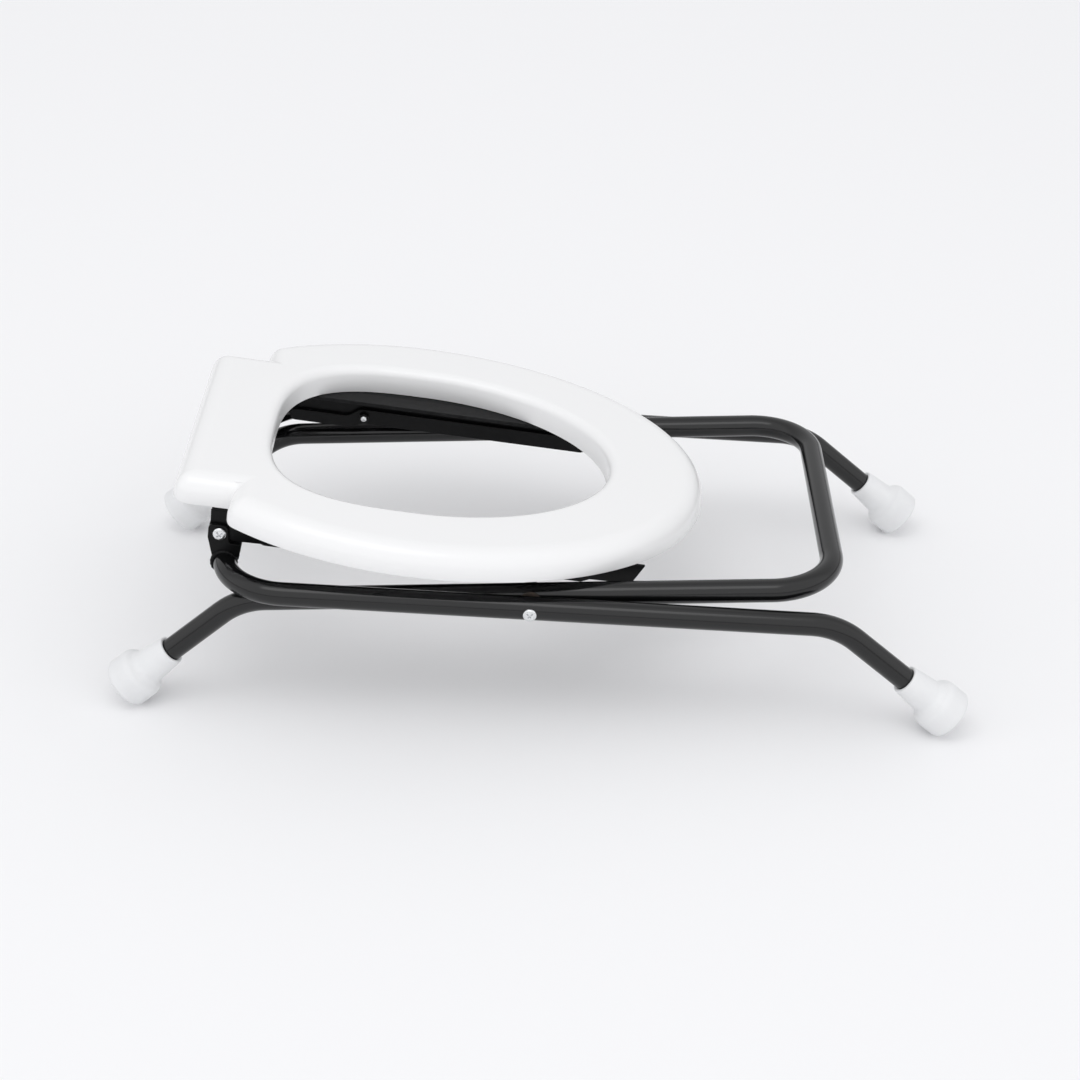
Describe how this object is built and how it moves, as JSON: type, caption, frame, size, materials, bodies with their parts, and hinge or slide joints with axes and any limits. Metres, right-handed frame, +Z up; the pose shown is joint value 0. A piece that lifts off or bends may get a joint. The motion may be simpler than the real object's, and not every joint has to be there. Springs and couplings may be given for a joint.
{
  "type": "folding raised toilet seat",
  "caption": "Free-standing raised toilet seat: a white seat ring on hinged rails over two crossed black tube frames with rubber feet, shown folded flat.",
  "frame": {"origin": "on the floor, under the middle of the folded stool", "axes": "+X along the frames towards the narrow front end of the seat, +Y across towards the far side, +Z up"},
  "size_m": [0.7006, 0.376, 0.1949],
  "materials": {
    "frame_paint": "gloss black",
    "bracket_paint": "gloss black",
    "foot_rubber": "satin pale grey",
    "zinc_steel": "zinc plated",
    "white_nylon": "natural nylon",
    "fibre": "pressed fibre",
    "seat_plastic": "satin white"
  },
  "bodies": {
    "outer_frame": {"outer_frame_tube": "frame_paint", "outer_near_foot": "foot_rubber", "outer_far_foot": "foot_rubber", "outer_foot_washers": "zinc_steel", "pivot_bolts": "zinc_steel", "pivot_spacers": "white_nylon", "pivot_washers": "zinc_steel", "pivot_nuts": "zinc_steel", "near_hinge_lug": "bracket_paint", "far_hinge_lug": "bracket_paint", "hinge_bolts": "zinc_steel", "hinge_nuts": "zinc_steel"},
    "inner_frame": {"inner_frame_tube": "frame_paint", "inner_near_foot": "foot_rubber", "inner_far_foot": "foot_rubber", "inner_foot_washers": "zinc_steel", "pivot_bushes": "white_nylon"},
    "seat": {"seat_ring": "seat_plastic", "seat_screws": "zinc_steel", "near_seat_rail": "bracket_paint", "far_seat_rail": "bracket_paint", "hinge_bushes": "white_nylon", "lock_arm_bolts": "zinc_steel", "lock_arm_washers": "fibre", "lock_arm_nuts": "zinc_steel"},
    "near_arm": {"near_lock_arm": "bracket_paint"},
    "far_arm": {"far_lock_arm": "bracket_paint"}
  },
  "joints": [
    {"name": "frame_scissor", "type": "hinge", "parent": "outer_frame", "child": "inner_frame", "pos_m": [-0.00536, 0, 0.11], "axis": [0, -1, 0], "range_deg": [0, 91]},
    {"name": "seat_hinge", "type": "hinge", "parent": "outer_frame", "child": "seat", "pos_m": [-0.25589, 0, 0.14756], "axis": [0, -1, 0], "range_deg": [0, 52]},
    {"name": "near_arm_pivot", "type": "hinge", "parent": "seat", "child": "near_arm", "pos_m": [-0.15955, -0.1124, 0.13623], "axis": [0, 1, 0], "range_deg": [0, 4]},
    {"name": "far_arm_pivot", "type": "hinge", "parent": "seat", "child": "far_arm", "pos_m": [-0.15955, 0.1124, 0.13623], "axis": [0, 1, 0], "range_deg": [0, 4]}
  ],
  "couplings": [
    {"joint": "seat_hinge", "follows": "frame_scissor", "ratio": 0.5711}
  ]
}
